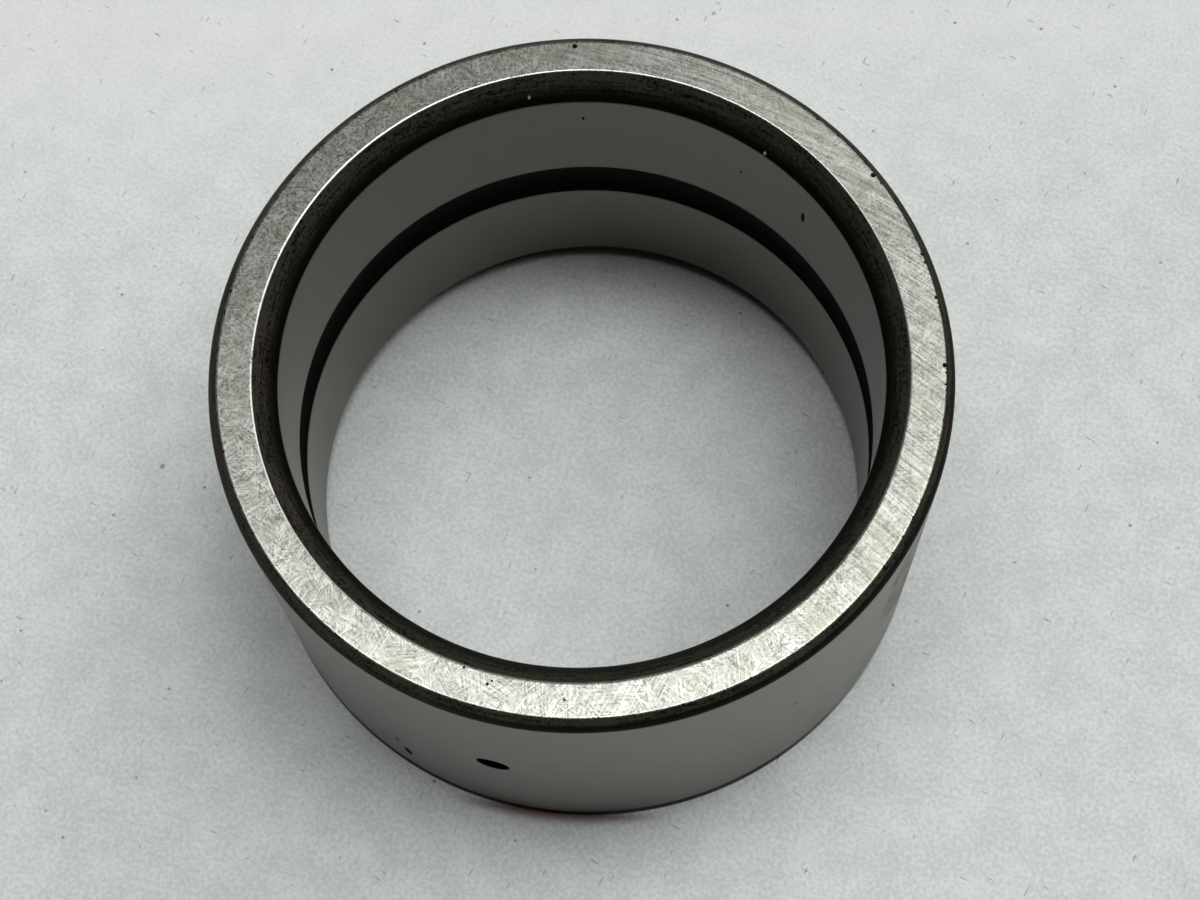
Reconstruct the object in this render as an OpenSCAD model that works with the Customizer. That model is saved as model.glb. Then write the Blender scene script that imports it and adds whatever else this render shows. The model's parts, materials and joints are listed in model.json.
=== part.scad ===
// Inner ring of a needle roller bearing: a hardened steel sleeve that is pressed onto a shaft, so that
// the needle rollers run on its ground outside. Millimetres, +Z up along the shaft.
// The origin is on the axis, in the plane of the lower end face. The oil hole points along -Y.

/* [Ring] */
// Diameter of the bore, the seat on the shaft
bore_d = 57.15; // [50:0.05:58]
// Outside diameter, the raceway that the rollers run on
raceway_d = 69.85; // [69:0.05:80]
// Width of the ring from end face to end face
width = 38.35; // [25:0.05:60]

/* [Corners] */
// How far each bore corner reaches across its end face
bore_corner_radial = 2.15; // [1:0.05:2.5]
// How far each bore corner reaches along the bore
bore_corner_axial = 2.6; // [1:0.05:4]
// How far the bore corner's arc stands proud of its chord
bore_corner_crown = 0.2; // [0.05:0.05:0.4]
// How far each raceway corner reaches across its end face
raceway_corner_radial = 1.05; // [0.5:0.05:2]
// How far each raceway corner reaches along the raceway
raceway_corner_axial = 1.4; // [0.5:0.05:3]
// How far the raceway corner's arc stands proud of its chord
raceway_corner_crown = 0.2; // [0.05:0.05:0.3]

/* [Lubrication] */
// Width of the groove round the middle of the bore
groove_w = 5.6; // [4:0.1:10]
// Depth of that groove
groove_depth = 0.9; // [0.4:0.1:1.5]
// Diameter of the radial hole that joins the groove to the raceway
oil_hole_d = 3.175; // [1.5:0.025:3.9]

/* [Hidden] */
$fn = 180;
bore_r = bore_d / 2;
raceway_r = raceway_d / 2;
mid_z = width / 2;
// Overlap that carries a cutter clear of the surface it opens
clear = 1;

// Radius of the arc that stands crown proud of a chord of the given length
function arc_radius(chord, crown) = (chord * chord / 4 + crown * crown) / (2 * crown);

groove_r = arc_radius(groove_w, groove_depth);
groove_centre_r = bore_r + groove_depth - groove_r;

// What a rounded corner takes off a square one, whose point is at the origin and whose sides run
// along +X and -Y: everything beyond the chord, less the arc that bulges back over it
module corner_cut(radial, axial, crown) {
    chord = norm([radial, axial]);
    radius = arc_radius(chord, crown);
    // Unit normal of the chord, pointing into the metal
    inward = [axial, -radial] / chord;
    centre = [radial, -axial] / 2 + inward * (radius - crown);
    difference() {
        polygon([[radial, 0], [radial, clear], [-clear, clear], [-clear, -axial], [0, -axial]]);
        translate(centre) circle(r = radius);
    }
}

// The two corners of the upper end face, placed on the section
module upper_corner_cuts() {
    translate([bore_r, width]) corner_cut(bore_corner_radial, bore_corner_axial, bore_corner_crown);
    translate([raceway_r, width]) mirror([1, 0])
        corner_cut(raceway_corner_radial, raceway_corner_axial, raceway_corner_crown);
}

// Half section of the ring in the radius and height plane
module ring_section() {
    difference() {
        translate([bore_r, 0]) square([raceway_r - bore_r, width]);
        upper_corner_cuts();
        translate([0, width]) mirror([0, 1]) upper_corner_cuts();
        translate([groove_centre_r, mid_z]) circle(r = groove_r);
    }
}

module inner_ring() {
    color([0.33, 0.32, 0.29]) difference() {
        rotate_extrude() ring_section();
        translate([0, 0, mid_z]) rotate([90, 0, 0])
            cylinder(d = oil_hole_d, h = raceway_r + clear);
    }
}

inner_ring();
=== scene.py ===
"""Looks of a needle roller bearing's inner ring: a hardened steel sleeve that stands on an end face.

The ring is one closed surface. Its section in the plane of radius and height is carried round the axis,
and one radial oil hole joins the groove in the bore to the raceway. Lengths are in metres. Those that the
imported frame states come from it, and the others are named values here.
"""

import json
import logging
from collections.abc import Callable, Sequence
from dataclasses import dataclass
from enum import IntEnum
from typing import Any

import bmesh
import bpy
import numpy as np
from mathutils import Matrix, Vector


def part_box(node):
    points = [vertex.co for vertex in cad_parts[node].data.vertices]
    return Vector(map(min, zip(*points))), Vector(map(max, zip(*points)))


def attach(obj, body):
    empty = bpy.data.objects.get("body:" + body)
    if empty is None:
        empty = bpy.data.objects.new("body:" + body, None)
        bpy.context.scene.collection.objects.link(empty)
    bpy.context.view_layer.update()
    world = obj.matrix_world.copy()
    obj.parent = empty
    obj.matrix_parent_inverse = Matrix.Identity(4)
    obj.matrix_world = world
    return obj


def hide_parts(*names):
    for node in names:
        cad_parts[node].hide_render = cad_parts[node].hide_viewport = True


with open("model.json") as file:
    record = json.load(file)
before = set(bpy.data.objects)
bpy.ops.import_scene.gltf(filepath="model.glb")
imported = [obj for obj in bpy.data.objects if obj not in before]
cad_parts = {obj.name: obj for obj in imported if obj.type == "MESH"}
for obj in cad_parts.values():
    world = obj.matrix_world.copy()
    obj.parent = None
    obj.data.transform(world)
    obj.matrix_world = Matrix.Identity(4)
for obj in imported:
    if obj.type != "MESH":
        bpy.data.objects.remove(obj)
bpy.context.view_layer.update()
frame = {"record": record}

MM = 0.001
log = logging.getLogger("inner_ring")

Array = np.ndarray
Colour = tuple[float, float, float]
Point = tuple[float, float, float]


def direction(azimuth: float, elevation: float = 0.0) -> Vector:
    """The unit vector towards a place in the sky; azimuth 0 is -Y, and it grows towards +X, in degrees."""
    turn, rise = np.radians(azimuth), np.radians(elevation)
    return Vector((np.sin(turn) * np.cos(rise), -np.cos(turn) * np.cos(rise), np.sin(rise)))


# ---- Shader graphs written as expressions ----


class Field:
    """One output of a shader graph. Python's operators on it add the nodes that work them out."""

    def __init__(self, graph: "Graph", socket: bpy.types.NodeSocket) -> None:
        """Keeps the socket and the graph that it belongs to."""
        self.graph = graph
        self.socket = socket

    def _joined(self, operation: str, left: Any, right: Any) -> "Field":
        """Adds the node that joins two operands.

        Args:
            operation: the operation's name, which Math, Vector Math and Mix share.
            left: the first operand, a Field, a number or a tuple.
            right: the second operand.

        Returns:
            The result: a colour if either operand is one, or else a vector if either is one.
        """
        kinds = [side.socket.type for side in (left, right) if isinstance(side, Field)]
        if "RGBA" in kinds:
            settings = {"data_type": "RGBA", "blend_type": operation}
            return self.graph.node("ShaderNodeMix", settings, {0: 1.0, 6: left, 7: right}, output=2)
        node_type = "ShaderNodeVectorMath" if "VECTOR" in kinds else "ShaderNodeMath"
        return self.graph.node(node_type, {"operation": operation}, {0: left, 1: right})

    def __add__(self, other: Any) -> "Field":
        """Field + other."""
        return self._joined("ADD", self, other)

    def __radd__(self, other: Any) -> "Field":
        """Other + field."""
        return self._joined("ADD", other, self)

    def __sub__(self, other: Any) -> "Field":
        """Field - other."""
        return self._joined("SUBTRACT", self, other)

    def __rsub__(self, other: Any) -> "Field":
        """Other - field."""
        return self._joined("SUBTRACT", other, self)

    def __mul__(self, other: Any) -> "Field":
        """Field * other."""
        return self._joined("MULTIPLY", self, other)

    def __rmul__(self, other: Any) -> "Field":
        """Other * field."""
        return self._joined("MULTIPLY", other, self)

    def __truediv__(self, other: Any) -> "Field":
        """Field / other."""
        return self._joined("DIVIDE", self, other)

    def __rtruediv__(self, other: Any) -> "Field":
        """Other / field."""
        return self._joined("DIVIDE", other, self)

    def __pow__(self, other: Any) -> "Field":
        """Field ** other."""
        return self._joined("POWER", self, other)

    def __rpow__(self, other: Any) -> "Field":
        """Other ** field."""
        return self._joined("POWER", other, self)

    def larger(self, other: Any) -> "Field":
        """The larger of the field and other."""
        return self._joined("MAXIMUM", self, other)

    def smaller(self, other: Any) -> "Field":
        """The smaller of the field and other."""
        return self._joined("MINIMUM", self, other)

    def step(self, low: float, high: float) -> "Field":
        """A smooth step of the field.

        Args:
            low: where the step is 0.
            high: where the step is 1. If it is less than low, the step falls.

        Returns:
            A mask from 0 to 1.
        """
        if low > high:
            return 1.0 - self.step(high, low)
        settings = {"interpolation_type": "SMOOTHSTEP"}
        return self.graph.node("ShaderNodeMapRange", settings, {0: self, 1: low, 2: high})


class Graph:
    """A node tree, and the coordinates that its patterns read."""

    def __init__(self, tree: bpy.types.NodeTree, coordinates: str = "Object") -> None:
        """Empties the tree and adds its coordinates.

        Args:
            tree: the tree of a material or of the world.
            coordinates: the output of Texture Coordinate that the patterns read.
        """
        self.tree = tree
        self.tree.nodes.clear()
        self.place = self.node("ShaderNodeTexCoord", output=coordinates)
        self.x, self.y, self.z = self.outputs(self.node("ShaderNodeSeparateXYZ", inputs={0: self.place}))

    def node(
        self,
        kind: str,
        settings: dict[str, Any] | None = None,
        inputs: dict[int | str, Any] | None = None,
        output: int | str = 0,
    ) -> Field:
        """Adds one node.

        Args:
            kind: the node's type, such as ShaderNodeMath.
            settings: its properties, which are set first.
            inputs: a value or a Field for each socket, by its number or name.
            output: which of its outputs is wanted.

        Returns:
            That output.
        """
        made = self.tree.nodes.new(kind)
        for name, value in (settings or {}).items():
            setattr(made, name, value)
        for key, value in (inputs or {}).items():
            socket = made.inputs[key]
            if isinstance(value, Field):
                self.tree.links.new(value.socket, socket)
            elif socket.type == "RGBA":
                socket.default_value = (*value[:3], 1.0)
            else:
                socket.default_value = value
        return Field(self, made.outputs[output] if len(made.outputs) else None)

    def outputs(self, field: Field) -> list[Field]:
        """All the outputs of the node that a field comes from."""
        return [Field(self, socket) for socket in field.socket.node.outputs]

    def radius(self) -> Field:
        """The distance from the axis: the root of x squared plus y squared."""
        return (self.x * self.x + self.y * self.y) ** 0.5

    def towards(self, azimuth: float) -> Field:
        """How far from the axis a place lies towards an azimuth, which is negative on the other side."""
        way = direction(azimuth)
        return self.x * way.x + self.y * way.y

    def cells(self, size: Point, turn: float = 0.0, shift: float = 0.0) -> Field:
        """The coordinates, turned about +Z and then counted in cells.

        Args:
            size: a cell's length along each axis.
            turn: the angle in degrees.
            shift: how many cells the pattern is moved, which gives another pattern of the same kind.

        Returns:
            The vector for a texture.
        """
        inputs = {0: self.place, "Rotation": (0.0, 0.0, np.radians(turn))}
        turned = self.node("ShaderNodeMapping", {"vector_type": "POINT"}, inputs)
        return turned * tuple(1.0 / length for length in size) + (shift, shift, shift)

    def arc_cells(self, centre: tuple[float, float], size: Point) -> Field:
        """Coordinates that run along circles about a point: (angle times mean radius, distance, z) in cells.

        Args:
            centre: the x and y of the point.
            size: a cell's length along the circles, across them and along Z.

        Returns:
            The vector for a texture.
        """
        across, up = self.x - centre[0], self.y - centre[1]
        distance = (across * across + up * up) ** 0.5
        angle = self.node("ShaderNodeMath", {"operation": "ARCTAN2"}, {0: up, 1: across})
        radius = float(np.hypot(*centre))
        counts = {0: angle * (radius / size[0]), 1: distance / size[1], 2: self.z / size[2]}
        return self.node("ShaderNodeCombineXYZ", inputs=counts)

    def noise(self, vector: Field, detail: float = 2.0, roughness: float = 0.5) -> Field:
        """Smooth noise about 0.5."""
        inputs = {"Vector": vector, "Scale": 1.0, "Detail": detail, "Roughness": roughness}
        return self.node("ShaderNodeTexNoise", {"noise_dimensions": "3D"}, inputs)

    def cloud(self, size: float, shift: float = 0.0, detail: float = 2.0) -> Field:
        """Noise about 0.5 with round cells of one size."""
        return self.noise(self.cells((size, size, size), shift=shift), detail)

    def spots(self, cell: float, radius: float, share: float, shift: float = 0.0) -> Field:
        """Scattered spots, at most one to a cell.

        Args:
            cell: the size of the cells.
            radius: the radius of a spot.
            share: the share of the cells that hold one.
            shift: how many cells the pattern is moved.

        Returns:
            A mask, 1 in the middle of a spot.
        """
        inputs = {"Vector": self.cells((cell, cell, cell), shift=shift), "Scale": 1.0}
        distance, chance = self.outputs(self.node("ShaderNodeTexVoronoi", inputs=inputs))[:2]
        lot = self.node("ShaderNodeSeparateXYZ", inputs={0: chance})
        return distance.step(radius / cell, 0.4 * radius / cell) * lot.step(share, 0.99 * share)

    def ellipsoid(self, centre: Point, half: Point) -> Field:
        """Marks an ellipsoid: the length of (place - centre) / half, from 0 in its middle to 1 at its edge.

        Args:
            centre: its middle.
            half: half its size along each axis.

        Returns:
            A mask, 1 in the middle and 0 outside.
        """
        offset = (self.place - centre) * tuple(1.0 / length for length in half)
        distance = self.node("ShaderNodeVectorMath", {"operation": "LENGTH"}, {0: offset}, output="Value")
        return distance.step(1.0, 0.5)

    def grey(self, level: Field) -> Field:
        """A steel grey of this level, a little warm."""
        return self.node("ShaderNodeCombineColor", inputs={0: 1.05 * level, 1: level, 2: 0.86 * level})

    def blend(self, mask: Any, without: Any, within: Any) -> Field:
        """A colour that goes from without to within as the mask goes from 0 to 1."""
        settings = {"data_type": "RGBA", "blend_type": "MIX"}
        return self.node("ShaderNodeMix", settings, {0: mask, 6: without, 7: within}, output=2)


@dataclass
class Surface:
    """What a finish says of each point: a colour, a roughness, a relief in metres and how far it is metal."""

    colour: Field
    roughness: Field | float
    relief: Field
    metallic: Field | float


class Finish:
    """A finish that can be put on a part of the ring. A subclass says what its surface is."""

    name: str
    specular: float = 0.0

    def surface(self, graph: Graph) -> Surface:
        """Works out the colour, roughness, relief and metal."""
        raise NotImplementedError

    def material(self) -> bpy.types.Material:
        """Builds the finish's material.

        Returns:
            The material. Its specular level, which only tells where it isn't metal, is the same all over.
        """
        material = bpy.data.materials.new(self.name)
        material.use_nodes = True
        graph = Graph(material.node_tree)
        surface = self.surface(graph)
        relief = {"Height": surface.relief, "Distance": 1.0, "Strength": 1.0}
        normal = graph.node("ShaderNodeBump", inputs=relief)
        inputs = {
            "Base Color": surface.colour,
            "Roughness": surface.roughness,
            "Normal": normal,
            "Metallic": surface.metallic,
            "Specular IOR Level": self.specular,
        }
        shader = graph.node("ShaderNodeBsdfPrincipled", inputs=inputs)
        graph.node("ShaderNodeOutputMaterial", inputs={"Surface": shader})
        return material


# ---- Finishes ----

STEEL_DULL: Colour = (0.130, 0.133, 0.116)
STEEL_BRIGHT: Colour = (0.430, 0.440, 0.400)
# The colour of the painted highlights along the end face's edges.
EDGE_HIGHLIGHT_PAINT: Colour = (0.640, 0.655, 0.620)
STAIN: Colour = (0.235, 0.232, 0.165)
DIRT: Colour = (0.010, 0.008, 0.006)
RUST: Colour = (0.085, 0.062, 0.045)
OXIDE_BLACK: Colour = (0.003, 0.003, 0.002)
OXIDE_OLIVE: Colour = (0.034, 0.034, 0.024)
OXIDE_BROWN: Colour = (0.038, 0.035, 0.026)
OXIDE_PURPLE: Colour = (0.052, 0.041, 0.036)


@dataclass(frozen=True)
class Mark:
    """A speck or a nick on the ring: where it is round the axis from -Y, and half its sizes.

    Its edge is the sharper the greater the firmness is, from 1 up.
    """

    azimuth: float
    radius: float
    height: float
    half_width: float
    half_height: float
    firmness: float = 2.0

    def mask(self, graph: Graph) -> Field:
        """Marks an upright ellipsoid.

        Args:
            graph: the graph to add to.

        Returns:
            A mask, 1 in the middle of the mark.
        """
        way = direction(self.azimuth) * self.radius
        half = (self.half_width, self.half_width, self.half_height)
        return graph.ellipsoid((way.x, way.y, self.height), half).step(0.0, 1.0 / self.firmness)


def all_marks(graph: Graph, marks: Sequence[Mark]) -> Field | float:
    """Joins the masks of several marks.

    Args:
        graph: the graph to add to.
        marks: the marks, none or more.

    Returns:
        A mask, or 0 if there are no marks.
    """
    total: Field | float = 0.0
    for mark in marks:
        total = mark.mask(graph) + total
    return total


def turning_lines(graph: Graph, width: float, length: float) -> Field:
    """Lines that run round the axis: noise about 0.5 that changes fast along Z and slowly along X and Y."""
    return graph.noise(graph.cells((length, length, width)), detail=3.0, roughness=0.6)


@dataclass(frozen=True)
class GroundBand(Finish):
    """A cylindrically ground surface: smooth grey steel with faint lines round it and a few marks."""

    name: str
    brightness: float
    roughness: float = 0.34
    line_width: float = 0.12 * MM
    line_length: float = 12 * MM
    line_depth: float = 0.0003 * MM
    drift_size: float = 5 * MM
    grain_size: float = 0.25 * MM
    smudge_cloud: float = 1.8 * MM
    smudge_strength: float = 0.7
    mark_strength: float = 0.95
    marks: tuple[Mark, ...] = ()
    smudges: tuple[Mark, ...] = ()

    def surface(self, graph: Graph) -> Surface:
        """Steel whose tone hardly drifts, with dark marks and cloudy rust-brown smudges.

        Args:
            graph: the graph to add to.

        Returns:
            The surface.
        """
        lines = turning_lines(graph, self.line_width, self.line_length)
        drift = graph.cloud(self.drift_size, detail=3.0)
        fine = graph.cloud(self.grain_size, shift=4.4, detail=3.0)
        tone = 1.0 + 0.20 * (lines - 0.5) + 0.16 * (drift - 0.5) + 0.40 * (fine - 0.5)
        steel = graph.grey(tone * self.brightness)
        cloudy = graph.cloud(self.smudge_cloud, shift=6.6, detail=6.0).step(0.30, 0.80)
        smudges = self.smudge_strength * cloudy * all_marks(graph, self.smudges)
        marks = self.mark_strength * all_marks(graph, self.marks)
        rusty = graph.blend(smudges, steel, RUST)
        colour = graph.blend(marks, rusty, DIRT)
        roughness = self.roughness * (0.9 + 0.2 * drift)
        return Surface(colour, roughness, lines * self.line_depth, 1.0 - marks.larger(smudges))


@dataclass(frozen=True)
class GroundFace(Finish):
    """A flat ground end face: scuffed all ways and, on one side, one way, stained and ragged at its edge, and
    with painted highlights along its edges.
    """

    name: str
    inner_edge: float
    outer_edge: float
    roughness: float = 0.28
    scuff_turns: tuple[float, ...] = (20.0, 48.0, 71.0, 104.0, 131.0, 162.0)
    scuff_length: float = 2.0 * MM
    scuff_width: float = 0.13 * MM
    scuff_depth: float = 0.0045 * MM
    scuff_patch: float = 2.4 * MM
    lay_centre: tuple[float, float] = (-9.8 * MM, -83.3 * MM)
    lay_length: float = 4.0 * MM
    lay_width: float = 0.14 * MM
    lay_side: float = 125.0
    edge_wander: float = 0.30 * MM
    highlight_width: float = 0.08 * MM
    highlight_side: float = -50.0
    highlight_strength: float = 0.7
    stain_strength: float = 0.45
    tone: float = 0.47
    mottle_weight: float = 1.2
    patch_weight: float = 0.7
    grain_weight: float = 1.45
    peak_weight: float = 0.3
    lay_weight: float = 1.25
    marks: tuple[Mark, ...] = ()

    def crossed_scuffs(self, graph: Graph) -> tuple[Field, Field]:
        """Straight scuffs in several directions: noise drawn out along each of them, in patches of its own.

        Args:
            graph: the graph to add to.

        Returns:
            The grain, about 0, which is the sum of the noises less their means, each within its patches, and
            the bright scuffs, which are the noises' peaks.
        """
        grain: Any = 0.0
        peaks: Any = 0.0
        for number, turn in enumerate(self.scuff_turns):
            size = (self.scuff_length, self.scuff_width, 4 * MM)
            noise = graph.noise(graph.cells(size, turn, shift=11.3 * number), detail=1.0)
            patch = graph.cloud(self.scuff_patch, shift=17.9 * number, detail=1.0).step(0.44, 0.60)
            grain = (noise - 0.5) * patch + grain
            peaks = noise.step(0.64, 0.76) * patch + peaks
        return grain, peaks

    def lay(self, graph: Graph) -> tuple[Field, Field]:
        """Long parallel scuffs on one side of the face, on circles about a point outside the ring.

        Args:
            graph: the graph to add to.

        Returns:
            The scuffs about 0, and how far they hold: 1 on their side and 0 on the other.
        """
        size = (self.lay_length, self.lay_width, 4 * MM)
        noise = graph.noise(graph.arc_cells(self.lay_centre, size), detail=2.0)
        reach = graph.towards(self.lay_side) + graph.cloud(6 * MM, shift=9.1) * (10 * MM)
        held = reach.step(6 * MM, 22 * MM)
        return (noise - 0.5) * held, held

    def painted_edge_highlight(self, graph: Graph) -> Field:
        """Painted highlights: bright lines all along the inner edge, and along the outer edge on one side.

        Args:
            graph: the graph to add to.

        Returns:
            A mask.
        """
        beside = graph.towards(self.highlight_side).step(0.55 * self.outer_edge, 0.85 * self.outer_edge)
        broken = graph.cloud(1.1 * MM, shift=5.5, detail=3.0).step(0.30, 0.50)
        inner = graph.radius().step(self.inner_edge + 1.4 * self.highlight_width, self.inner_edge)
        outer = graph.radius().step(self.outer_edge - 2.0 * self.highlight_width, self.outer_edge)
        return broken * inner.larger(outer * beside)

    def surface(self, graph: Graph) -> Surface:
        """Steel with scuffs, mottling, stains and pits, painted highlights along its edges, and dark nicks
        that eat into its outer edge.

        Args:
            graph: the graph to add to.

        Returns:
            The surface.
        """
        crossed, peaks = self.crossed_scuffs(graph)
        lay, held = self.lay(graph)
        grain = crossed * (1.0 - 0.45 * held) + self.lay_weight * lay
        mottle = graph.cloud(0.30 * MM, detail=4.0) - 0.5
        patches = graph.cloud(1.6 * MM, shift=2.9, detail=3.0) - 0.5
        tone = self.tone + self.mottle_weight * mottle + self.patch_weight * patches
        tone = tone + self.grain_weight * grain + self.peak_weight * peaks * (1.0 - 0.8 * held)
        stains = graph.cloud(4 * MM, shift=3.1).step(0.46, 0.70)
        stains = stains * graph.cloud(0.7 * MM, shift=8.2).step(0.35, 0.6)
        steel = graph.blend(self.stain_strength * stains, graph.blend(tone, STEEL_DULL, STEEL_BRIGHT), STAIN)
        # Painted highlights: bright lines along the inner edge and along one side of the outer edge.
        steel = graph.blend(self.highlight_strength * self.painted_edge_highlight(graph), steel, EDGE_HIGHLIGHT_PAINT)
        pits = graph.spots(1.8 * MM, 0.13 * MM, 0.05) + all_marks(graph, self.marks)
        nicked = graph.cloud(0.55 * MM, shift=7.7, detail=3.0).step(0.56, 0.78) * self.edge_wander
        rim = (graph.radius() + nicked).step(self.outer_edge + 0.08 * MM, self.outer_edge + 0.12 * MM)
        roughness = self.roughness + 0.14 * mottle
        relief = (1.1 * grain + 1.0 * mottle) * self.scuff_depth
        dirt = pits.larger(rim)
        return Surface(graph.blend(dirt, steel, DIRT), roughness, relief, 1.0 - dirt)


@dataclass(frozen=True)
class HardenedScale(Finish):
    """The dark skin of heat treatment that grinding left, with turning lines, tints and bright nicks."""

    name: str
    width: float
    level: float = 1.0
    specular: float = 0.04
    roughness: float = 0.48
    line_width: float = 0.20 * MM
    line_length: float = 4 * MM
    line_depth: float = 0.005 * MM
    worn_depth: float = 2.2 * MM
    outer_radius: float = 33 * MM
    dark_side: float = 80.0
    patch_size: float = 9 * MM
    grit_size: float = 0.32 * MM
    nick_strength: float = 0.8
    marks: tuple[Mark, ...] = ()

    def surface(self, graph: Graph) -> Surface:
        """Black oxide, olive, brown and purple in patches, that wears towards the end faces.

        Outside outer_radius a black line round the ring cuts the wear short, from 0.3 to 0.65 mm off the end
        faces, and it is darker towards dark_side.

        Args:
            graph: the graph to add to.

        Returns:
            The surface.
        """
        lines = turning_lines(graph, self.line_width, self.line_length)
        patches = graph.cloud(self.patch_size, shift=1.7)
        grit = graph.cloud(self.grit_size, shift=5.1, detail=3.0)
        depth = graph.z.smaller(self.width - graph.z)
        dark = graph.towards(self.dark_side).step(-0.2 * self.outer_radius, 0.5 * self.outer_radius)
        outside = graph.radius().step(self.outer_radius, self.outer_radius + 0.5 * MM)
        black = outside * (0.35 + 0.65 * dark) * depth.step(0.30 * MM, 0.65 * MM)
        worn = depth.step(self.worn_depth, 0.0) * (1.0 - black)
        tint = graph.blend(patches.step(0.40, 0.52), OXIDE_OLIVE, OXIDE_BROWN)
        tint = graph.blend(0.7 * patches.step(0.55, 0.66) * grit.step(0.40, 0.60), tint, OXIDE_PURPLE)
        shown = self.level * worn * (1.0 + 4.5 * (lines - 0.5) + 4.0 * (grit - 0.5)).larger(0.0)
        oxide = graph.blend(shown, OXIDE_BLACK, tint)
        nicks = graph.spots(2.6 * MM, 0.10 * MM, 0.03) + all_marks(graph, self.marks)
        roughness = self.roughness + 0.2 * (lines - 0.5)
        colour = graph.blend(self.nick_strength * nicks, oxide, STEEL_BRIGHT)
        return Surface(colour, roughness, lines * self.line_depth, metallic=0.0)


# ---- The ring's shape ----


class Zone(IntEnum):
    """The surfaces of the ring that have a finish of their own, numbered as its material slots."""

    RACEWAY = 0
    END_FACE = 1
    BORE = 2
    CORNER = 3
    GROOVE = 4
    OIL_HOLE = 5


GROUND_ZONES = (Zone.RACEWAY, Zone.END_FACE, Zone.BORE)
WINDOW_MARGIN = 0.01 * MM
WELD_DISTANCE = 0.001 * MM


@dataclass(frozen=True)
class Corner:
    """A rounded corner: how far it reaches across the face and along the wall, and its arc's crown."""

    radial: float
    axial: float
    crown: float


def arc(start: Array, end: Array, crown: float, count: int) -> Array:
    """A circular arc over a chord.

    The radius is (half chord squared plus crown squared) over twice the crown. The points stand at even
    angles about a centre that lies on the chord's perpendicular bisector, a radius less the crown behind it.

    Args:
        start: the first point, (radius, height).
        end: the last point.
        crown: how far the arc stands off the chord, to the right of the way from start to end if positive.
        count: the number of steps.

    Returns:
        count + 1 points.
    """
    chord = end - start
    half = np.linalg.norm(chord) / 2
    along = chord / (2 * half)
    out = np.array([along[1], -along[0]]) * np.sign(crown)
    radius = (half**2 + crown**2) / (2 * abs(crown))
    centre = (start + end) / 2 + out * (abs(crown) - radius)
    angle = np.linspace(-1, 1, count + 1) * np.arcsin(half / radius)
    return centre + radius * (np.outer(np.cos(angle), out) + np.outer(np.sin(angle), along))


def line(start: Array, end: Array, count: int) -> Array:
    """A straight stretch from start to end in even steps, as count + 1 points."""
    return start + np.outer(np.linspace(0, 1, count + 1), end - start)


@dataclass(frozen=True)
class OilHole:
    """The radial hole on the -Y side, and the window in the grids either side of it that it stands in.

    The openings are how far each ring round the hole has closed in on it, and the turns are how far each
    ring of its broken edge has turned into it.
    """

    radius: float
    height: float
    edge_break: float = 0.10 * MM
    window_columns: int = 12
    window_rows: int = 12
    window_half_height: float = 2.2 * MM
    openings: tuple[float, ...] = (0.0, 0.35, 0.7, 0.95, 1.0)
    turns: tuple[float, ...] = (0.33, 0.67, 1.0)
    wall_steps: int = 8


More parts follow.
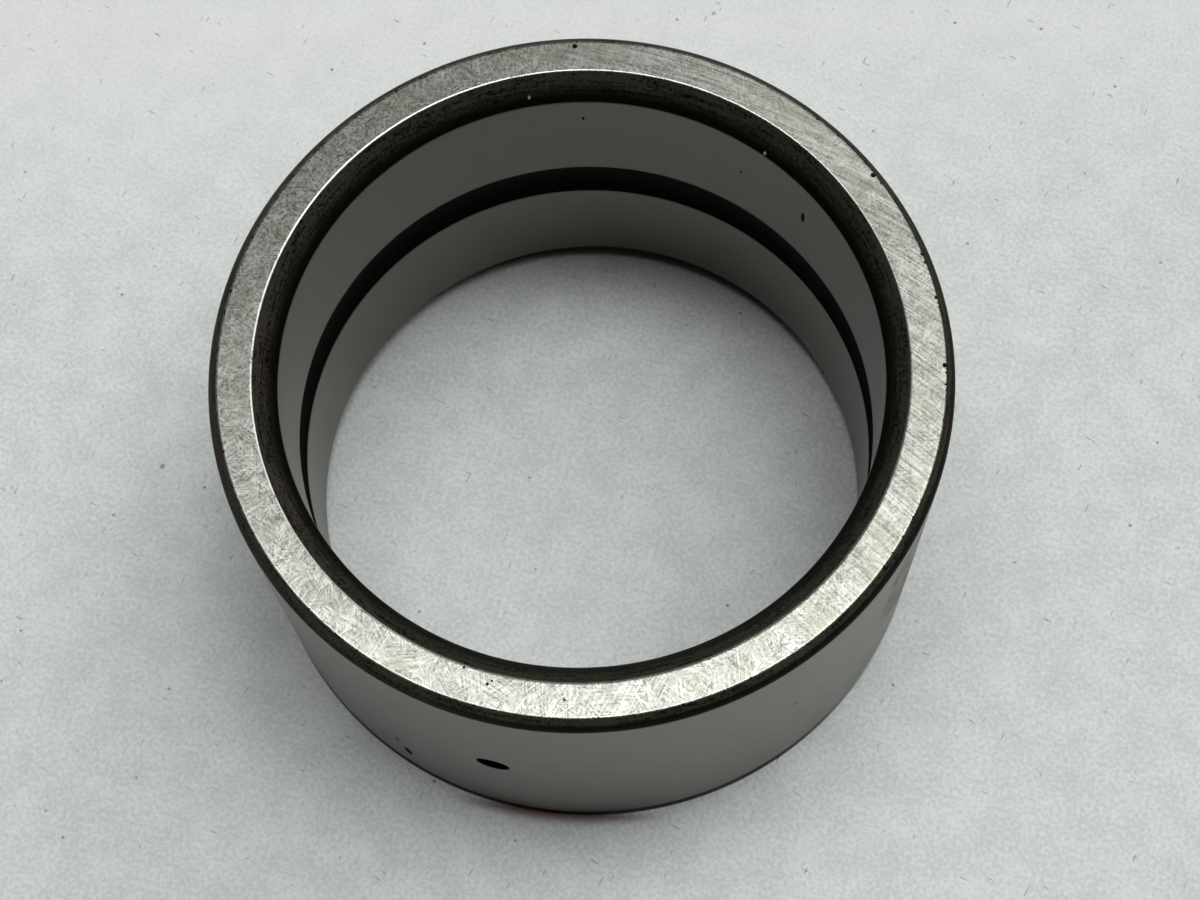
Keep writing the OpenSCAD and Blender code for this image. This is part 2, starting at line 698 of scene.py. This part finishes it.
@dataclass(frozen=True)
class RingShape:
    """The ring's sizes, and the closed surface worked out from them.

    The guard is where the point beside a broken edge stands, counted in edge breaks from the sharp edge.
    """

    bore_radius: float
    raceway_radius: float
    width: float
    bore_corner: Corner
    raceway_corner: Corner
    groove_width: float
    groove_depth: float
    hole: OilHole
    columns: int = 600
    raceway_steps: int = 4
    raceway_corner_steps: int = 8
    face_steps: int = 7
    bore_corner_steps: int = 12
    bore_steps: int = 5
    groove_side_steps: int = 2
    edge_break: float = 0.12 * MM
    guard: float = 1.4

    def upper_stretches(self) -> list[tuple[Zone, Array]]:
        """The section from the raceway's middle over the upper end face to the groove's floor.

        Returns:
            A zone and its (radius, height) points for each stretch, with the metal on the left of the way.
        """
        middle, top = self.hole.height, self.width
        window_top = middle + self.hole.window_half_height
        raceway_end = np.array([self.raceway_radius, top - self.raceway_corner.axial])
        face_out = np.array([self.raceway_radius - self.raceway_corner.radial, top])
        face_in = np.array([self.bore_radius + self.bore_corner.radial, top])
        bore_start = np.array([self.bore_radius, top - self.bore_corner.axial])
        groove_edge = np.array([self.bore_radius, middle + self.groove_width / 2])
        half_window = self.hole.window_rows // 2
        window_start = np.array([self.raceway_radius, middle])
        window = line(window_start, np.array([self.raceway_radius, window_top]), half_window)
        above = line(window[-1], raceway_end, self.raceway_steps)
        return [
            (Zone.RACEWAY, np.concatenate([window[:-1], above])),
            (Zone.CORNER, arc(raceway_end, face_out, self.raceway_corner.crown, self.raceway_corner_steps)),
            (Zone.END_FACE, line(face_out, face_in, self.face_steps)),
            (Zone.CORNER, arc(face_in, bore_start, self.bore_corner.crown, self.bore_corner_steps)),
            (Zone.BORE, line(bore_start, groove_edge, self.bore_steps)),
            (Zone.GROOVE, self.groove_half()),
        ]

    def groove_surface(self, height: Array) -> Array:
        """The radius of the groove's floor, on its circular arc.

        The arc's radius is (half width squared plus depth squared) over twice the depth.

        Args:
            height: heights on the groove.

        Returns:
            The floor's distance from the axis at each height.
        """
        half, depth = self.groove_width / 2, self.groove_depth
        arc_radius = (half**2 + depth**2) / (2 * depth)
        rise = np.sqrt(arc_radius**2 - (height - self.hole.height) ** 2)
        return self.bore_radius + depth - arc_radius + rise

    def groove_half(self) -> Array:
        """The groove's upper half, with a row at the window's edge.

        Returns:
            (radius, height) points from the groove's upper edge to its middle.
        """
        middle = self.hole.height
        window_top = middle + self.hole.window_half_height
        edge = middle + self.groove_width / 2
        outside = np.linspace(edge, window_top, self.groove_side_steps + 1)
        inside = np.linspace(window_top, middle, self.hole.window_rows // 2 + 1)
        heights = np.concatenate([outside[:-1], inside])
        return np.stack([self.groove_surface(heights), heights], axis=1)

    def section(self) -> tuple[Array, Array]:
        """The whole section as a closed loop, with every sharp edge broken.

        The lower half is the upper half mirrored about mid height and walked back. At each joint of two
        stretches the last and first edge_break of them give way to the quadratic curve
        (1 - t)^2 a + 2 t (1 - t) corner + t^2 b, and the points beside it keep the flats flat.

        Returns:
            (radius, height) points, and the zone of the strip that starts at each.
        """
        upper = self.upper_stretches()
        mirrored = [(zone, points[::-1] * (1, -1) + (0, self.width)) for zone, points in reversed(upper)]
        stretches = [(Zone.GROOVE, np.concatenate([upper[-1][1], mirrored[0][1][1:]]))]
        stretches += mirrored[1:-1]
        stretches += [(Zone.RACEWAY, np.concatenate([mirrored[-1][1], upper[0][1][1:]]))]
        stretches += upper[1:-1]
        rows: list[Array] = []
        zones: list[Zone] = []
        for (zone, points), (next_zone, next_points) in zip(stretches, stretches[1:] + stretches[:1]):
            inner = self.trimmed(points)
            before, after = inner[-1], self.trimmed(next_points)[0]
            turn = np.array([[0.25], [0.5], [0.75]])
            bend = (1 - turn) ** 2 * before + 2 * turn * (1 - turn) * points[-1] + turn**2 * after
            rows += [inner, bend]
            edge_zone = zone if zone in GROUND_ZONES else next_zone
            zones += [zone] * (len(inner) - 1) + [edge_zone] * (len(bend) + 1)
        return np.concatenate(rows), np.array(zones)

    def trimmed(self, points: Array) -> Array:
        """Cuts a stretch back at both ends, which leaves room for the broken edges.

        Args:
            points: the stretch's (radius, height) points.

        Returns:
            The stretch from edge_break inside one end to the same inside the other, with one more point
            near each, which keeps the shading of the broken edge off the rest of the stretch.
        """

        def end(first: Array, second: Array) -> list[Array]:
            """The two points that stand for the first."""
            way = (second - first) / np.linalg.norm(second - first)
            return [first + way * self.edge_break, first + self.guard * way * self.edge_break]

        return np.array([*end(points[0], points[1]), *points[1:-1], *end(points[-1], points[-2])[::-1]])

    def shell(self, section: Array) -> Array:
        """The section carried round the axis.

        Column j stands at the angle 2 pi j / columns from -Y, so a point is (r sin a, -r cos a, z).

        Args:
            section: (radius, height) points.

        Returns:
            Points in an array of rows, columns and coordinates.
        """
        angle = 2 * np.pi * np.arange(self.columns) / self.columns
        radius, height = section[:, :1], section[:, 1:]
        return np.stack([radius * np.sin(angle), -radius * np.cos(angle), height + 0 * angle], axis=2)

    def window(self, shell: Array, section: Array, outside: bool) -> tuple[Array, Array]:
        """The window round the oil hole in the raceway's or the groove's part of the shell.

        Args:
            shell: the points from shell().
            section: the section's points.
            outside: True for the raceway and False for the groove.

        Returns:
            The window's border as a loop of points, and the rows of the strips inside it.
        """
        reach = self.hole.window_half_height + WINDOW_MARGIN
        is_outside = section[:, 0] > (self.bore_radius + self.raceway_radius) / 2
        rows = np.flatnonzero((np.abs(section[:, 1] - self.hole.height) < reach) & (is_outside == outside))
        upwards = rows[np.argsort(section[rows, 1])]
        half = self.hole.window_columns // 2
        block = shell[np.ix_(upwards, np.arange(-half, half + 1) % self.columns)]
        border = [block[0, :-1], block[:-1, -1], block[-1, :0:-1], block[:0:-1, 0]]
        return np.concatenate(border), rows[:-1]

    def tube(self, outer_border: Array, inner_border: Array) -> tuple[Array, Array]:
        """The raceway's window, the hole's wall and the groove's window as one grid.

        A ring of it has the local place (rho cos f, rho sin f) in x and height. From the outer border it
        closes evenly on the hole's broken edge, goes straight in along Y, and opens to the inner border.

        Args:
            outer_border: the border of the raceway's window.
            inner_border: the border of the groove's window, which starts at the same corner.

        Returns:
            Points in an array of rings, points and coordinates, and the zone of the strip after each ring.
        """
        hole, centre = self.hole, np.array([0.0, self.hole.height])

        def flat(border: Array) -> Array:
            """A border's places in x and height, from the hole's axis."""
            return border[:, [0, 2]] - centre

        def rim(border: Array, radius: float) -> Array:
            """A circle whose points stand in the same directions as the border's."""
            places = flat(border)
            return places * (radius / np.linalg.norm(places, axis=1, keepdims=True))

        def on_raceway(places: Array) -> Array:
            """The y of the raceway at these places: the root of r squared less x squared, towards -Y."""
            return -np.sqrt(self.raceway_radius**2 - places[:, 0] ** 2)

        def on_groove(places: Array) -> Array:
            """The same for the groove's floor, whose radius goes with the height."""
            return -np.sqrt(self.groove_surface(places[:, 1] + hole.height) ** 2 - places[:, 0] ** 2)

        def opening(border: Array, surface: Callable[[Array], Array], inward: float) -> list[Array]:
            """Leads from a border to where the hole's wall starts.

            Args:
                border: the window's border.
                surface: gives y for places in the window.
                inward: the way into the metal in y, 1 or -1.

            Returns:
                The rings: those on the surface, and those that turn a quarter circle into the hole.
            """
            edge, wall = rim(border, hole.radius + hole.edge_break), rim(border, hole.radius)
            rings = []
            for share in hole.openings:
                places = flat(border) * (1 - share) + edge * share
                rings.append((places, surface(places)))
            for turn in hole.turns:
                places = edge + (wall - edge) * np.sin(turn * np.pi / 2)
                drop = inward * hole.edge_break * (1 - np.cos(turn * np.pi / 2))
                rings.append((places, surface(edge) + drop))
            return [np.stack([p[:, 0], y, p[:, 1] + hole.height], axis=1) for p, y in rings]

        outer = opening(outer_border, on_raceway, 1.0)
        inner = opening(inner_border, on_groove, -1.0)[::-1]
        shares = np.linspace(0, 1, hole.wall_steps + 1)[1:-1]
        wall = [outer[-1] * (1 - share) + inner[0] * share for share in shares]
        rings = outer + wall + inner
        flat_strips = len(hole.openings) - 1
        hole_strips = len(rings) - 1 - 2 * flat_strips
        zones = [Zone.RACEWAY] * flat_strips + [Zone.OIL_HOLE] * hole_strips + [Zone.GROOVE] * flat_strips
        return np.array(rings), np.array(zones)

    def mesh(self, name: str) -> bpy.types.Mesh:
        """Joins the shell and the tube into one closed mesh.

        Args:
            name: the mesh's name.

        Returns:
            The mesh, smooth shaded, with a material index for each zone.
        """
        section, strip_zones = self.section()
        shell = self.shell(section)
        outer_border, outer_rows = self.window(shell, section, outside=True)
        inner_border, inner_rows = self.window(shell, section, outside=False)
        tube, tube_zones = self.tube(outer_border, inner_border)

        half = self.hole.window_columns // 2
        kept = np.ones(shell.shape[:2], bool)
        open_columns = np.arange(-half, half) % self.columns
        kept[np.ix_(np.concatenate([outer_rows, inner_rows]), open_columns)] = False
        shell_points = shell.reshape(-1, 3)
        shell_faces = grid_faces(*shell.shape[:2], closed_rows=True)[kept.ravel()]
        tube_faces = grid_faces(*tube.shape[:2], closed_rows=False) + len(shell_points)
        shell_zones = np.repeat(strip_zones, self.columns)[kept.ravel()]
        zones = np.concatenate([shell_zones, np.repeat(tube_zones, tube.shape[1])])
        points = np.concatenate([shell_points, tube.reshape(-1, 3)])
        return welded_mesh(name, points, np.concatenate([shell_faces, tube_faces]), zones)


def grid_faces(rows: int, columns: int, closed_rows: bool) -> Array:
    """The quads of a grid whose columns close on themselves.

    Args:
        rows: how many rows of points there are.
        columns: how many points a row has.
        closed_rows: whether the last row joins the first.

    Returns:
        Four point numbers for each quad, in the grid's own order.
    """
    row = np.arange(rows if closed_rows else rows - 1)[:, None]
    column = np.arange(columns)[None]
    next_row, next_column = (row + 1) % rows, (column + 1) % columns
    corners = [row * columns + column, row * columns + next_column]
    corners += [next_row * columns + next_column, next_row * columns + column]
    return np.stack(np.broadcast_arrays(*corners), axis=2).reshape(-1, 4)


def welded_mesh(name: str, points: Array, faces: Array, zones: Array) -> bpy.types.Mesh:
    """A closed mesh from patches that share their borders.

    Args:
        name: the mesh's name.
        points: every patch's points.
        faces: four point numbers for each quad.
        zones: the material index of each quad.

    Returns:
        The mesh, with its double points merged and its faces pointing out.
    """
    mesh = bpy.data.meshes.new(name)
    mesh.from_pydata(points, [], faces.tolist())
    mesh.polygons.foreach_set("material_index", zones.astype(np.int32))
    mesh.polygons.foreach_set("use_smooth", np.ones(len(faces), bool))
    shape = bmesh.new()
    shape.from_mesh(mesh)
    bmesh.ops.remove_doubles(shape, verts=shape.verts, dist=WELD_DISTANCE)
    loose = [vertex for vertex in shape.verts if not vertex.link_faces]
    bmesh.ops.delete(shape, geom=loose, context="VERTS")
    bmesh.ops.recalc_face_normals(shape, faces=shape.faces)
    shape.to_mesh(mesh)
    shape.free()
    return mesh


# ---- The ring, the paper that it stands on, the light and the camera ----


def new_object(name: str, data: bpy.types.ID) -> bpy.types.Object:
    """Adds an object to the scene, at the origin.

    Args:
        name: its name.
        data: its mesh, light or camera.

    Returns:
        The object.
    """
    made = bpy.data.objects.new(name, data)
    bpy.context.scene.collection.objects.link(made)
    return made


@dataclass
class InnerRing:
    """The ring itself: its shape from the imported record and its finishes."""

    name: str = "inner_ring_steel"
    node: str = "inner_ring"
    slot: str = "ground_steel"
    bore_corner_radial: float = 2.15 * MM
    bore_corner_crown: float = 0.20 * MM
    raceway_corner_radial: float = 1.05 * MM
    raceway_corner_crown: float = 0.20 * MM
    groove_width: float = 5.6 * MM
    groove_depth: float = 0.9 * MM

    def shape(self) -> RingShape:
        """Reads the sizes that the frame states.

        Returns:
            The ring's shape. A corner's axial reach is half of what its wall lacks of the ring's width.
        """
        low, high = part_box(self.node)
        mounts = {mount["name"]: mount for mount in frame["record"]["mounts"]}
        bore, raceway, hole = (mounts[name] for name in ("shaft_bore", "roller_raceway", "oil_hole"))
        width = high.z - low.z

        def axial(mount: dict[str, Any]) -> float:
            """How far a corner reaches along the wall of this mount."""
            return (width - mount["dims"]["length_mm"] * MM) / 2

        return RingShape(
            bore_radius=bore["dims"]["r_mm"] * MM,
            raceway_radius=raceway["dims"]["r_mm"] * MM,
            width=width,
            bore_corner=Corner(self.bore_corner_radial, axial(bore), self.bore_corner_crown),
            raceway_corner=Corner(self.raceway_corner_radial, axial(raceway), self.raceway_corner_crown),
            groove_width=self.groove_width,
            groove_depth=self.groove_depth,
            hole=OilHole(hole["dims"]["r_mm"] * MM, hole["pos_m"][2]),
        )

    def finishes(self, shape: RingShape) -> dict[Zone, Finish]:
        """Chooses the finish of each zone, with the marks that can be seen on it.

        Args:
            shape: the ring's shape.

        Returns:
            A finish for each zone.
        """
        bore, raceway, top = shape.bore_radius, shape.raceway_radius, shape.width
        bore_marks = (
            Mark(145.3, bore, 30.1 * MM, 0.30 * MM, 1.20 * MM),
            Mark(194.7, bore, 32.5 * MM, 0.16 * MM, 0.40 * MM),
            Mark(161.4, bore, 29.7 * MM, 0.13 * MM, 0.32 * MM),
        )
        raceway_marks = (
            Mark(-17.0, raceway, 7.0 * MM, 0.55 * MM, 1.60 * MM),
            Mark(-18.6, raceway, 10.2 * MM, 0.20 * MM, 0.90 * MM),
            Mark(49.8, raceway, 21.6 * MM, 0.14 * MM, 0.40 * MM),
        )
        raceway_smudges = (Mark(80.0, raceway, 25.0 * MM, 8.0 * MM, 18.0 * MM, firmness=1.0),)
        face_places = (
            (0.0, 31.76, 0.17),
            (0.6, 31.39, 0.13),
            (12.5, 32.22, 0.14),
            (-4.5, 30.90, 0.15),
            (138.9, 33.80, 0.30),
            (103.6, 33.80, 0.28),
            (195.8, 33.40, 0.30),
        )
        face_marks = tuple(Mark(turn, r * MM, top, half * MM, 0.3 * MM) for turn, r, half in face_places)
        corner_marks = (
            Mark(-155.1, bore + 0.55 * MM, top - 1.5 * MM, 0.16 * MM, 0.6 * MM),
            Mark(156.5, bore + 0.15 * MM, top - 2.2 * MM, 0.20 * MM, 0.3 * MM),
        )
        bore_edge = bore + shape.bore_corner.radial
        raceway_edge = raceway - shape.raceway_corner.radial
        return {
            # The raceway's brightness is partly its own dark ground steel and partly painted shade: it is set
            # lower for the shaded paper in front of it that the raceway reflects.
            Zone.RACEWAY: GroundBand("ground_raceway", 0.102, marks=raceway_marks, smudges=raceway_smudges),
            Zone.END_FACE: GroundFace("ground_end_face", bore_edge, raceway_edge, marks=face_marks),
            Zone.BORE: GroundBand("ground_bore", 0.122, marks=bore_marks),
            Zone.CORNER: HardenedScale("hardened_scale", top, marks=corner_marks),
            Zone.GROOVE: HardenedScale("groove_scale", top, level=0.0, roughness=0.60),
            Zone.OIL_HOLE: HardenedScale("oil_hole_scale", top, level=0.0, roughness=0.60),
        }

    def build(self) -> bpy.types.Object:
        """Builds the ring in place of its CAD node.

        Returns:
            The ring's object.
        """
        shape = self.shape()
        ring = new_object(self.name, shape.mesh(self.name))
        finishes = self.finishes(shape)
        for zone in Zone:
            ring.data.materials.append(finishes[zone].material())
        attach(ring, "root")
        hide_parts(self.node)
        return ring


@dataclass(frozen=True)
class PaperFinish(Finish):
    """Pale paper with a faint mottle of fibres."""

    name: str = "pale_paper"
    specular: float = 0.2
    light: Colour = (0.880, 0.925, 0.895)
    shade: Colour = (0.700, 0.745, 0.715)
    speck: Colour = (0.22, 0.21, 0.19)
    # The colour of the painted light that makes the paper paler behind the ring.
    pale: Colour = (0.975, 0.985, 0.975)
    painted_light_side: float = 198.8
    # The colour of the painted contact shadow, with some oil, at the ring's foot.
    contact_shadow: Colour = (0.012, 0.009, 0.009)
    oil: Colour = (0.110, 0.020, 0.026)
    oil_inside: float = 34.0 * MM
    oil_radius: float = 34.95 * MM
    oil_edge: float = 0.10 * MM
    oil_reach: float = 1.5 * MM
    oil_side: float = 9.0
    oil_strength: float = 0.9
    speck_strength: float = 0.75
    fibre_size: Point = (2.4 * MM, 0.30 * MM, MM)
    fibre_turns: tuple[float, ...] = (15.0, 100.0)

    def specked(self, graph: Graph, colour: Field) -> Field:
        """Scatters small round specks of two sizes and short fibres.

        Args:
            graph: the graph to add to.
            colour: the paper's own colour.

        Returns:
            The colour with them.
        """
        specks = graph.spots(4 * MM, 0.26 * MM, 0.70) + graph.spots(9 * MM, 0.42 * MM, 0.50, shift=4.5)
        for number, turn in enumerate(self.fibre_turns):
            cells = graph.cells(self.fibre_size, turn, shift=23.0 * number)
            specks = graph.noise(cells, detail=1.0).step(0.74, 0.80) + specks
        return graph.blend(self.speck_strength * specks, colour, self.speck)

    def oiled_and_shadowed(self, graph: Graph, colour: Field) -> Field:
        """Oil and painted shade at the foot of the ring on one side: a thin dark line of painted contact
        shadow with some oil, and a reddish oil smear outside it.

        Args:
            graph: the graph to add to.
            colour: the paper's colour.

        Returns:
            The colour with the painted contact shadow and the oil.
        """
        ahead = graph.towards(self.oil_side)
        # Painted contact shadow with some oil: a thin dark line just outside the ring's foot.
        contact_shadow = graph.radius().step(self.oil_radius + self.oil_edge, self.oil_radius)
        under = graph.radius().step(self.oil_inside - self.oil_edge, self.oil_inside)
        contact_shadow = contact_shadow * ahead.step(0.2 * self.oil_radius, 0.8 * self.oil_radius)
        smear = graph.radius().step(self.oil_radius + self.oil_reach, self.oil_radius)
        smear = smear * ahead.step(0.965 * self.oil_radius, self.oil_radius)
        colour = graph.blend(self.oil_strength * smear * under, colour, self.oil)
        return graph.blend(self.oil_strength * contact_shadow * under, colour, self.contact_shadow)

    def surface(self, graph: Graph) -> Surface:
        """A mottle of two sizes, with painted light that makes it paler behind the ring, with specks, and at
        the ring's foot oil and a painted contact shadow.

        Args:
            graph: the graph to add to.

        Returns:
            The surface.
        """
        fibres = graph.cloud(0.45 * MM, detail=4.0)
        mottle = 0.7 * fibres + 0.3 * graph.cloud(4 * MM, shift=2.3)
        colour = graph.blend(mottle.step(0.34, 0.66), self.shade, self.light)
        # Painted light: the paper is made paler behind the ring.
        pale = graph.towards(self.painted_light_side).step(20 * MM, 70 * MM)
        colour = self.specked(graph, graph.blend(0.6 * pale, colour, self.pale))
        return Surface(self.oiled_and_shadowed(graph, colour), 0.8, fibres * (0.05 * MM), metallic=0.0)


@dataclass(frozen=True)
class Paper:
    """The plain pale floor."""

    half_side: float = 1.5

    def build(self) -> bpy.types.Object:
        """Builds the floor as one square in the plane of the ring's lower end face.

        Returns:
            The floor's object.
        """
        corner = np.array([[-1, -1, 0], [1, -1, 0], [1, 1, 0], [-1, 1, 0]]) * self.half_side
        mesh = bpy.data.meshes.new("paper")
        mesh.from_pydata(corner, [], [(0, 1, 2, 3)])
        mesh.materials.append(PaperFinish().material())
        floor = new_object("paper", mesh)
        return floor


@dataclass(frozen=True)
class Glow:
    """A soft light in the sky: where it is, how wide it is in degrees and how bright in its middle."""

    azimuth: float
    elevation: float
    width: float
    strength: float

    def field(self, graph: Graph) -> Field:
        """The glow's brightness in every direction d: strength times e^((d . middle - 1) / (1 - cos width)).

        Args:
            graph: the sky's graph.

        Returns:
            The brightness.
        """
        middle = direction(self.azimuth, self.elevation)
        nearness = graph.x * middle.x + graph.y * middle.y + graph.z * middle.z
        sharpness = 1.0 / (1.0 - np.cos(np.radians(self.width)))
        return self.strength * np.e ** ((nearness - 1.0) * sharpness)


@dataclass(frozen=True)
class Studio:
    """The light: soft glows about the zenith, weaker ones on one side, and a pale band along the horizon."""

    glows: tuple[Glow, ...] = (
        # Near the zenith.
        Glow(138.8, 81.0, 8.0, 9.4),
        Glow(198.8, 81.0, 8.0, 0.9),
        Glow(258.8, 81.0, 8.0, 3.9),
        Glow(148.8, 74.0, 6.0, 3.2),
        Glow(248.8, 74.0, 6.0, 6.6),
        # Behind the ring.
        Glow(176.8, 60.0, 6.0, 2.0),
        Glow(189.8, 60.0, 6.0, 1.7),
        # Wider ones, to the sides and the back.
        Glow(108.8, 66.0, 10.0, 4.8),
        Glow(138.8, 50.0, 12.0, 2.1),
        Glow(258.8, 60.0, 10.0, 0.7),
        Glow(153.8, 36.0, 14.0, 2.0),
    )
    horizon: float = 0.50
    horizon_top: float = 0.62
    horizon_foot: float = 0.08
    colour: Colour = (1.0, 1.0, 1.0)

    def build(self) -> bpy.types.World:
        """Paints the sky.

        Returns:
            The world.
        """
        world = bpy.data.worlds.new("studio")
        bpy.context.scene.world = world
        world.use_nodes = True
        graph = Graph(world.node_tree, "Generated")
        brightness: Field | float = self.horizon * graph.z.step(self.horizon_top, self.horizon_foot)
        for glow in self.glows:
            brightness = glow.field(graph) + brightness
        inputs = {"Color": self.colour, "Strength": brightness}
        background = graph.node("ShaderNodeBackground", inputs=inputs)
        graph.node("ShaderNodeOutputWorld", inputs={"Surface": background})
        return world


@dataclass(frozen=True)
class Camera:
    """The camera: where it stands round the ring, what it looks at and how it is tilted."""

    azimuth: float = 18.8
    elevation: float = 69.9
    distance: float = 249.8 * MM
    aim_right: float = 1.25 * MM
    aim_away: float = 5.16 * MM
    roll: float = -4.27
    lens: float = 68.4
    sensor_width: float = 36.0
    clip_start: float = 0.01
    clip_end: float = 10.0

    def build(self) -> bpy.types.Object:
        """Places the camera and makes it the scene's.

        The camera's frame is the one that looks along -direction with its right side level, turned by roll.

        Returns:
            The camera's object.
        """
        back = direction(self.azimuth, self.elevation)
        right = Vector((0, 0, 1)).cross(back).normalized()
        up = back.cross(right)
        away = Vector((-back.x, -back.y, 0)).normalized()
        aim = right * self.aim_right + away * self.aim_away
        level = Matrix((right, up, back)).transposed().to_4x4()
        turned = level @ Matrix.Rotation(np.radians(self.roll), 4, "Z")
        data = bpy.data.cameras.new("camera")
        data.lens = self.lens
        data.sensor_width = self.sensor_width
        data.clip_start = self.clip_start
        data.clip_end = self.clip_end
        camera = new_object("camera", data)
        camera.matrix_world = Matrix.Translation(aim + back * self.distance) @ turned
        bpy.context.scene.camera = camera
        return camera


def main() -> None:
    """Builds the scene in order and reports the ring's face count."""
    logging.basicConfig(level=logging.INFO, format="%(name)s: %(message)s")
    bpy.context.scene.view_settings.view_transform = "Standard"
    Camera().build()
    Studio().build()
    Paper().build()
    ring = InnerRing().build()
    log.info("%s has %d faces", ring.name, len(ring.data.polygons))


if __name__ == "__main__":
    main()
